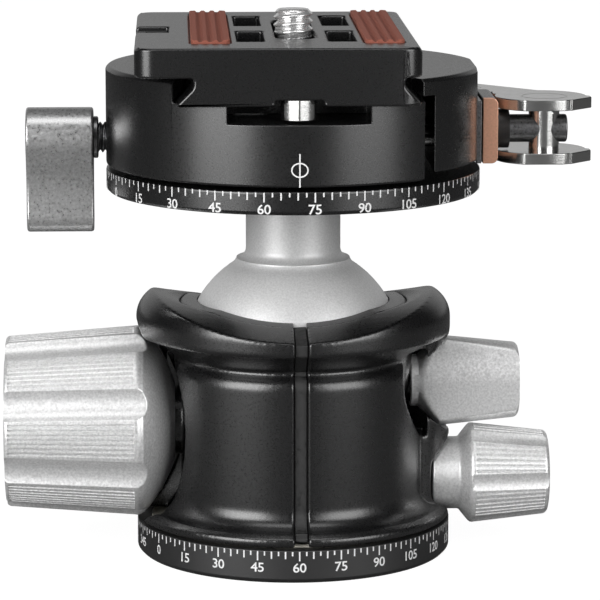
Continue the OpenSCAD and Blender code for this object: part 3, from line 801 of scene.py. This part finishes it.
def pan_lock_knob():
    """The pan lock's knob: a neck and a cone with six shallow scallops and ribbed lands."""
    axis_z = 12.1
    step, first = math.radians(60), 0.0
    grooves, groove_pitch = 6, math.radians(6.56)
    width, depth = 3.2, 0.40

    def cone(x):
        return 8.27 - 1.3 * (x - 29.6) / 11.7

    def ribs(r, a, x):
        if x < 29.3 or r < 6.2:
            return r
        r = scallop(r, a, cone(x), first, step, width, depth, blend=0.06)
        return r - groove(a, first, step, grooves, groove_pitch, r) if 29.9 < x < 41.3 else r

    stations = [(0, 22.8), (5.6, 22.8), (5.9, 22.95), (6, 23.2), (6, 27.15), (6.1, 27.4),
                (6.6, 27.8), (7.4, 28.45), (8.0, 28.95), (8.22, 29.25), (8.27, 29.6),
                (8.24, 29.85), (8.22, 29.93), (8.2, 30.1)]
    stations += [(cone(x), x) for x in np.linspace(30.6, 41.0, 16)]
    stations += [(6.98, 41.25), (6.95, 41.35), (6.94, 41.5), (6.85, 41.65), (6.7, 41.85),
                 (6.45, 42.02), (6.1, 42.1), (0, 42.1)]
    mesh = turned("pan_lock_knob_ribbed", stations, on_x(axis_z), steps=1080, radius=ribs)
    add_piece("pan_lock_knob_ribbed", mesh, grey(), "pan_lock_knob",
              ("pan_lock_knob",), sharp=40)


class HEAD_OT_side_knobs(bpy.types.Operator):
    """Makes the flatted friction knob and the ribbed pan lock knob"""
    bl_idname = "head.side_knobs"
    bl_label = "Side knobs"

    def execute(self, context):
        tension_knob()
        pan_lock_knob()
        paint(turned_steel(), "tension_screw", "pan_lock_screw")
        paint(nylon(), "tension_shoe", "pan_plug")
        return {"FINISHED"}


# ---- ball and dial ----

class HEAD_OT_ball(bpy.types.Operator):
    """Makes the blasted ball, its stem and the graduated dial"""
    bl_idname = "head.ball"
    bl_label = "Ball and dial"

    def execute(self, context):
        zc, r, stem = 32.6, 18.0, 7.75        # the ball's centre and radius, the stem's radius
        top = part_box("ball")[1].z / MM
        stations = [(0, zc - r)]
        for e in np.linspace(-88, 57, 88):
            stations.append((r * math.cos(math.radians(e)), zc + r * math.sin(math.radians(e))))
        # a small step, the stem's fillet, the stem and its bore from above
        stations += [(9.35, zc + 15.75), (9.3, zc + 15.95)]
        stations += arc(stem + 1.6, zc + 17.6, 1.6, -92, -180, 8)
        stations += [(stem, zc + 20), (stem, top - 0.2), (stem - 0.2, top), (2.5, top),
                     (2.5, zc + 6), (0, zc + 6)]
        add_piece("ball_blasted", turned("ball_blasted", stations), silver(), "ball",
                  ("ball",), sharp=40)
        machined("clamp_dial", black(), "ball", edge=0.00018)
        dial_marks("clamp_dial_marks", "ball", radius=CLAMP_R, top=0.06362, at_front=70.5)
        paint(nylon(), "ball_seat")
        paint(turned_steel(), "clamp_retainer")
        paint(dark_steel(), "stem_bolt")
        return {"FINISHED"}


# ---- clamp ----

def index_mark():
    """A ring with a line down through it, on the disc's side."""
    middle, wide, tall = 0.06715, 0.00125, 0.00107      # the ring's height and half its sizes
    line_top, line_foot = 0.0697, 0.06445
    half, n = 0.00011, 48                               # half the line's width, steps round
    verts = []
    for k in range(n):
        a = 2 * math.pi * k / n
        for edge in (half, -half):
            verts.append(wrapped(CLAMP_R, (wide + edge) * math.cos(a),
                                 middle + (tall + edge) * math.sin(a)))
    faces = []
    for k in range(n):
        j = (k + 1) % n
        faces.append((2 * k, 2 * j, 2 * j + 1, 2 * k + 1))
    add_tick(verts, faces, CLAMP_R, 0, half, line_top, line_foot)
    add_marks("index_mark", "clamp", verts, faces)


class HEAD_OT_clamp(bpy.types.Operator):
    """Makes the clamp's disc, its moving jaw and the index mark"""
    bl_idname = "head.clamp"
    bl_label = "Clamp"

    def execute(self, context):
        machined("clamp_body", black(), "clamp", edge=0.0002)
        machined("movable_jaw", black(), "jaw", edge=0.0002)
        index_mark()
        paint(steel(), "guide_pins")
        paint(turned_steel(), "jaw_springs")
        machined("jaw_plate", dark_steel(), "jaw", edge=0.00012)
        return {"FINISHED"}


class HEAD_OT_lever(bpy.types.Operator):
    """Makes the lever's fork, handle, pin, wear plate and draw rod"""
    bl_idname = "head.lever"
    bl_label = "Lever"

    def execute(self, context):
        machined("cam_block", black(), "jaw", edge=0.0001)
        machined("wear_plate", copper(), "jaw", edge=0.00012)
        machined("jaw_bush", plastic(), "jaw", edge=0.00015)
        machined("lever_plate_top", steel(), "lever", edge=0.00015)
        machined("lever_plate_bottom", steel(), "lever", edge=0.00015)
        machined("lever_handle", black(), "lever", edge=0.0004, steps=3)
        machined("lever_pin", steel(), "clamp", edge=0.0001)
        machined("draw_rod", dark_steel(), "clamp", edge=0.0003)
        paint(steel(), "lever_rivets")
        return {"FINISHED"}


def paddle_outline():
    """The paddle seen along its axis: points of (y, height over the hub's centre), round once."""
    hub, foot, foot_h = 4.9, 2.45, -13.05      # radius of the hub, radius and height of the foot
    side = [(hub * math.sin(math.radians(a)), hub * math.cos(math.radians(a)))
            for a in range(0, 128, 6)]
    side += [(3.35, -4.4), (2.95, -5.2), (2.66, -6.1), (2.45, -7.1), (2.32, -8.2),
             (2.27, -9.4), (2.3, -10.8), (2.38, -12), (2.44, -13)]
    side += [(foot * math.cos(math.radians(a)), foot_h - foot * math.sin(math.radians(a)))
             for a in range(10, 91, 10)]
    return side + [(-y, h) for y, h in side[-2:0:-1]]


class HEAD_OT_paddle(bpy.types.Operator):
    """Makes the pan clamp's paddle on its threaded shaft"""
    bl_idname = "head.paddle"
    bl_label = "Paddle"

    def execute(self, context):
        lo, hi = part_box("clamp_paddle")
        hub_z = hi.z / MM - 4.9
        bm = bmesh.new()
        face = bm.faces.new([bm.verts.new((lo.x, y * MM, (hub_z + h) * MM))
                             for y, h in paddle_outline()])
        made = bmesh.ops.extrude_face_region(bm, geom=[face])["geom"]
        bmesh.ops.translate(bm, verts=[v for v in made if isinstance(v, bmesh.types.BMVert)],
                            vec=(hi.x - lo.x, 0, 0))
        bmesh.ops.recalc_face_normals(bm, faces=bm.faces)
        mesh = bpy.data.meshes.new("clamp_paddle_shaped")
        bm.to_mesh(mesh)
        bm.free()
        paddle = add_piece("clamp_paddle_shaped", mesh, titanium(), "clamp_paddle",
                           ("clamp_paddle",), sharp=None)
        break_edges(paddle, 0.0004, 3, sharp=math.radians(50))

        axis = on_x(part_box("clamp_screw")[1].z / MM - 3.4)
        crest, root, tip, inner_end = 2.5, 2.05, -37.9, -17.0
        mesh = thread_mesh("clamp_screw_thread", crest, root, sizes().clamp_pitch / MM,
                           tip, inner_end, axis)
        add_piece("clamp_screw_thread", mesh, dark_steel(), "clamp_paddle",
                  ("clamp_screw",), sharp=50)
        collar = [(0, -32.5), (3.2, -32.5), (3.4, -32.35), (3.4, -31.85), (3.2, -31.7), (0, -31.7)]
        mesh = turned("clamp_screw_collar", collar, axis, steps=96)
        add_piece("clamp_screw_collar", mesh, dark_steel(), "clamp_paddle")
        paint(nylon(), "clamp_plug")
        return {"FINISHED"}


# ---- camera plate ----

def camera_screw():
    """The camera screw: head, plain shank and threaded end."""
    head = [(0, 77.2), (4.2, 77.2), (4.5, 77.45), (4.5, 79.9), (4.3, 80.1), (2.9, 80.1),
            (2.9, 86.2), (0, 86.2)]
    mesh = turned("camera_screw_head", head, steps=96)
    add_piece("camera_screw_head", mesh, bright_steel(), "camera_screw")
    crest, root, start, top = 3.175, 2.62, 84.2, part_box("camera_screw")[1].z / MM
    mesh = thread_mesh("camera_screw_thread", crest, root, sizes().camera_pitch / MM,
                       start, top, on_z, steps=72, chamfer=0.7)
    add_piece("camera_screw_thread", mesh, bright_steel(), "camera_screw",
              ("camera_screw",), sharp=50)


class HEAD_OT_camera_plate(bpy.types.Operator):
    """Makes the camera plate with its grip pads, strap loop, stop screws and camera screw"""
    bl_idname = "head.camera_plate"
    bl_label = "Camera plate"

    def execute(self, context):
        machined("qr_plate", black(), "plate", edge=0.00045, steps=3)
        for node in ("pad_left", "pad_right"):
            machined(node, rubber(), "plate", edge=0.00012)
        machined("stop_screws", steel(), "plate", edge=0.00015)
        machined("strap_loop", plastic(), "plate", edge=0.0003)
        machined("screw_washer", turned_steel(), "screw_washer", edge=0.0001)
        camera_screw()
        return {"FINISHED"}


# ---- add-on ----

class HEAD_PT_panel(bpy.types.Panel):
    """Lists the settings and the steps that make the head"""
    bl_idname = "HEAD_PT_panel"
    bl_label = "Tripod ball head"
    bl_space_type = "VIEW_3D"
    bl_region_type = "UI"
    bl_category = "Ball Head"

    def draw(self, context):
        scene = context.scene
        for group in (scene.head_sizes, scene.head_colours, scene.head_studio):
            box = self.layout.box()
            for prop in group.bl_rna.properties:
                if not prop.is_readonly and prop.identifier != "name":
                    box.prop(group, prop.identifier)
        for step in STEPS:
            self.layout.operator(step.bl_idname)


STEPS = (HEAD_OT_stage, HEAD_OT_base, HEAD_OT_housing, HEAD_OT_main_knob, HEAD_OT_side_knobs,
         HEAD_OT_ball, HEAD_OT_clamp, HEAD_OT_lever, HEAD_OT_paddle, HEAD_OT_camera_plate)
CLASSES = (HeadSizes, HeadColours, HeadStudio, *STEPS, HEAD_PT_panel)


def register():
    for c in CLASSES:
        bpy.utils.register_class(c)
    bpy.types.Scene.head_sizes = bpy.props.PointerProperty(type=HeadSizes)
    bpy.types.Scene.head_colours = bpy.props.PointerProperty(type=HeadColours)
    bpy.types.Scene.head_studio = bpy.props.PointerProperty(type=HeadStudio)


def unregister():
    del bpy.types.Scene.head_sizes, bpy.types.Scene.head_colours, bpy.types.Scene.head_studio
    for c in reversed(CLASSES):
        bpy.utils.unregister_class(c)


def main():
    register()
    bpy.context.scene.view_settings.view_transform = "Standard"
    bpy.ops.head.stage()
    bpy.ops.head.base()
    bpy.ops.head.housing()
    bpy.ops.head.main_knob()
    bpy.ops.head.side_knobs()
    bpy.ops.head.ball()
    bpy.ops.head.clamp()
    bpy.ops.head.lever()
    bpy.ops.head.paddle()
    bpy.ops.head.camera_plate()


if __name__ == "__main__":
    main()
